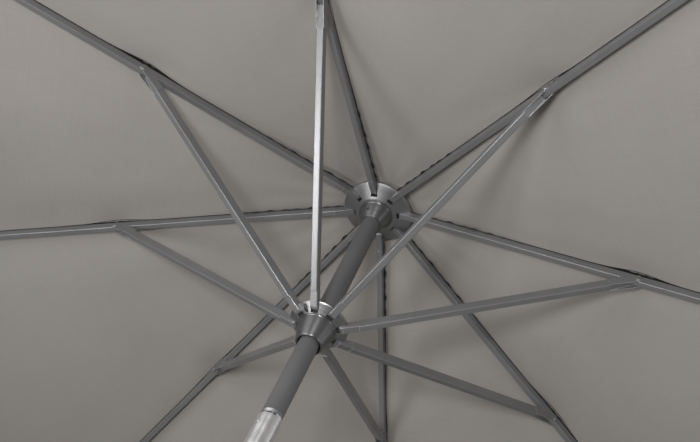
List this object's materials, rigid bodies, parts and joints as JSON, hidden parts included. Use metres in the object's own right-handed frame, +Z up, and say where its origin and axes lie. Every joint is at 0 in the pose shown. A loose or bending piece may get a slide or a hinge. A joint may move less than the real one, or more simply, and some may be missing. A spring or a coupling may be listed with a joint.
{
  "type": "tilting garden parasol",
  "caption": "Centre-pole garden parasol with folding ribs and struts, a sliding runner, a tilt knuckle and an octagonal fabric canopy.",
  "frame": {"origin": "centre of the pole's lower end, where it enters a base", "axes": "+Z up along the pole, +X along the tilt hinge pin, -Y the side the canopy leans to"},
  "size_m": [2.864, 2.864, 2.4328],
  "materials": {
    "mast_paint": "matt anthracite powder coat",
    "rib_paint": "satin dark grey powder coat",
    "rib_fitting": "satin dark grey moulded",
    "hub_metal": "satin grey, turned",
    "collar_metal": "satin anthracite, turned",
    "bright_metal": "polished",
    "steel": "plain",
    "cast_metal": "as cast",
    "black_plastic": "moulded",
    "canopy_fabric": "matt taupe-grey woven"
  },
  "bodies": {
    "lower_mast": {"lower_pole": "mast_paint", "bottom_pole": "mast_paint", "pole_foot": "black_plastic", "knuckle_tube": "bright_metal", "knuckle_pin": "bright_metal", "tilt_button_spring": "steel"},
    "pole_button": {"pole_button": "bright_metal"},
    "tilt_button": {"tilt_button": "bright_metal"},
    "upper_mast": {"mast_tube": "mast_paint", "mast_tongue": "cast_metal", "crown_hub": "hub_metal", "crown_collar": "collar_metal", "crown_pins": "steel", "crown_screw": "steel", "finial": "collar_metal"},
    "runner": {"runner_fan": "hub_metal", "runner_cone": "collar_metal", "runner_bush": "black_plastic", "runner_button_spring": "steel"},
    "runner_button": {"runner_button": "black_plastic"},
    "rib_1": {"rib_1_tube": "rib_paint", "rib_1_ends": "rib_fitting", "canopy_1": "canopy_fabric"},
    "strut_1": {"strut_1_tube": "rib_paint", "strut_1_ends": "rib_paint"},
    "rib_2": {"rib_2_tube": "rib_paint", "rib_2_ends": "rib_fitting", "canopy_2": "canopy_fabric"},
    "strut_2": {"strut_2_tube": "rib_paint", "strut_2_ends": "rib_paint"},
    "rib_3": {"rib_3_tube": "rib_paint", "rib_3_ends": "rib_fitting", "canopy_3": "canopy_fabric"},
    "strut_3": {"strut_3_tube": "rib_paint", "strut_3_ends": "rib_paint"},
    "rib_4": {"rib_4_tube": "rib_paint", "rib_4_ends": "rib_fitting", "canopy_4": "canopy_fabric"},
    "strut_4": {"strut_4_tube": "rib_paint", "strut_4_ends": "rib_paint"},
    "rib_5": {"rib_5_tube": "rib_paint", "rib_5_ends": "rib_fitting", "canopy_5": "canopy_fabric"},
    "strut_5": {"strut_5_tube": "rib_paint", "strut_5_ends": "rib_paint"},
    "rib_6": {"rib_6_tube": "rib_paint", "rib_6_ends": "rib_fitting", "canopy_6": "canopy_fabric"},
    "strut_6": {"strut_6_tube": "rib_paint", "strut_6_ends": "rib_paint"},
    "rib_7": {"rib_7_tube": "rib_paint", "rib_7_ends": "rib_fitting", "canopy_7": "canopy_fabric"},
    "strut_7": {"strut_7_tube": "rib_paint", "strut_7_ends": "rib_paint"},
    "rib_8": {"rib_8_tube": "rib_paint", "rib_8_ends": "rib_fitting", "canopy_8": "canopy_fabric"},
    "strut_8": {"strut_8_tube": "rib_paint", "strut_8_ends": "rib_paint"}
  },
  "joints": [
    {"name": "tilt", "type": "hinge", "parent": "lower_mast", "child": "upper_mast", "pos_m": [0, 0, 1.573], "axis": [-1, 0, 0], "range_deg": [-35, 0]},
    {"name": "rib_1_fold", "type": "hinge", "parent": "upper_mast", "child": "rib_1", "pos_m": [0.06467, 0.02679, 2.35993], "axis": [-0.3827, 0.9239, 0], "range_deg": [0, 70], "deforming": ["canopy_1"]},
    {"name": "rib_2_fold", "type": "hinge", "parent": "upper_mast", "child": "rib_2", "pos_m": [0.02679, 0.06467, 2.35993], "axis": [-0.9239, 0.3827, 0], "range_deg": [0, 70.1], "deforming": ["canopy_2"]},
    {"name": "rib_3_fold", "type": "hinge", "parent": "upper_mast", "child": "rib_3", "pos_m": [-0.02679, 0.06467, 2.35993], "axis": [-0.9239, -0.3827, 0], "range_deg": [0, 70.1], "deforming": ["canopy_3"]},
    {"name": "rib_4_fold", "type": "hinge", "parent": "upper_mast", "child": "rib_4", "pos_m": [-0.06467, 0.02679, 2.35993], "axis": [-0.3827, -0.9239, 0], "range_deg": [0, 70.1], "deforming": ["canopy_4"]},
    {"name": "rib_5_fold", "type": "hinge", "parent": "upper_mast", "child": "rib_5", "pos_m": [-0.06467, -0.02679, 2.35993], "axis": [0.3827, -0.9239, 0], "range_deg": [0, 70.1], "deforming": ["canopy_5"]},
    {"name": "rib_6_fold", "type": "hinge", "parent": "upper_mast", "child": "rib_6", "pos_m": [-0.02679, -0.06467, 2.35993], "axis": [0.9239, -0.3827, 0], "range_deg": [0, 70.1], "deforming": ["canopy_6"]},
    {"name": "rib_7_fold", "type": "hinge", "parent": "upper_mast", "child": "rib_7", "pos_m": [0.02679, -0.06467, 2.35993], "axis": [0.9239, 0.3827, 0], "range_deg": [0, 70.1], "deforming": ["canopy_7"]},
    {"name": "rib_8_fold", "type": "hinge", "parent": "upper_mast", "child": "rib_8", "pos_m": [0.06467, -0.02679, 2.35993], "axis": [0.3827, 0.9239, 0], "range_deg": [0, 70.1], "deforming": ["canopy_8"]},
    {"name": "strut_1_fold", "type": "hinge", "parent": "rib_1", "child": "strut_1", "pos_m": [0.63622, 0.26353, 2.17734], "axis": [0.3827, -0.9239, 0], "range_deg": [0, 131.81]},
    {"name": "strut_2_fold", "type": "hinge", "parent": "rib_2", "child": "strut_2", "pos_m": [0.26353, 0.63622, 2.17734], "axis": [0.9239, -0.3827, 0], "range_deg": [0, 131.81]},
    {"name": "strut_3_fold", "type": "hinge", "parent": "rib_3", "child": "strut_3", "pos_m": [-0.26353, 0.63622, 2.17734], "axis": [0.9239, 0.3827, 0], "range_deg": [0, 131.81]},
    {"name": "strut_4_fold", "type": "hinge", "parent": "rib_4", "child": "strut_4", "pos_m": [-0.63622, 0.26353, 2.17734], "axis": [0.3827, 0.9239, 0], "range_deg": [0, 131.81]},
    {"name": "strut_5_fold", "type": "hinge", "parent": "rib_5", "child": "strut_5", "pos_m": [-0.63622, -0.26353, 2.17734], "axis": [-0.3827, 0.9239, 0], "range_deg": [0, 131.81]},
    {"name": "strut_6_fold", "type": "hinge", "parent": "rib_6", "child": "strut_6", "pos_m": [-0.26353, -0.63622, 2.17734], "axis": [-0.9239, 0.3827, 0], "range_deg": [0, 131.81]},
    {"name": "strut_7_fold", "type": "hinge", "parent": "rib_7", "child": "strut_7", "pos_m": [0.26353, -0.63622, 2.17734], "axis": [-0.9239, -0.3827, 0], "range_deg": [0, 131.81]},
    {"name": "strut_8_fold", "type": "hinge", "parent": "rib_8", "child": "strut_8", "pos_m": [0.63622, -0.26353, 2.17734], "axis": [-0.3827, -0.9239, 0], "range_deg": [0, 131.81]},
    {"name": "runner_slide", "type": "slide", "parent": "upper_mast", "child": "runner", "axis": [0, 0, -1], "range_m": [0, 0.867]},
    {"name": "runner_button_press", "type": "slide", "parent": "runner", "child": "runner_button", "axis": [0, -1, 0], "range_m": [0, 0.003], "deforming": ["runner_button_spring"]},
    {"name": "tilt_button_press", "type": "slide", "parent": "lower_mast", "child": "tilt_button", "axis": [0, -1, 0], "range_m": [0, 0.002], "deforming": ["tilt_button_spring"]},
    {"name": "pole_button_press", "type": "slide", "parent": "lower_mast", "child": "pole_button", "axis": [0, -1, 0], "range_m": [0, 0.004]}
  ],
  "couplings": [
    {"joint": "rib_2_fold", "follows": "rib_1_fold", "ratio": 1},
    {"joint": "rib_3_fold", "follows": "rib_1_fold", "ratio": 1},
    {"joint": "rib_4_fold", "follows": "rib_1_fold", "ratio": 1},
    {"joint": "rib_5_fold", "follows": "rib_1_fold", "ratio": 1},
    {"joint": "rib_6_fold", "follows": "rib_1_fold", "ratio": 1},
    {"joint": "rib_7_fold", "follows": "rib_1_fold", "ratio": 1},
    {"joint": "rib_8_fold", "follows": "rib_1_fold", "ratio": 1},
    {"joint": "strut_1_fold", "follows": "rib_1_fold", "ratio": 1.8787},
    {"joint": "strut_2_fold", "follows": "rib_1_fold", "ratio": 1.8787},
    {"joint": "strut_3_fold", "follows": "rib_1_fold", "ratio": 1.8787},
    {"joint": "strut_4_fold", "follows": "rib_1_fold", "ratio": 1.8787},
    {"joint": "strut_5_fold", "follows": "rib_1_fold", "ratio": 1.8787},
    {"joint": "strut_6_fold", "follows": "rib_1_fold", "ratio": 1.8787},
    {"joint": "strut_7_fold", "follows": "rib_1_fold", "ratio": 1.8787},
    {"joint": "strut_8_fold", "follows": "rib_1_fold", "ratio": 1.8787},
    {"joint": "runner_slide", "follows": "rib_1_fold", "m_per_rad": 0.708}
  ]
}
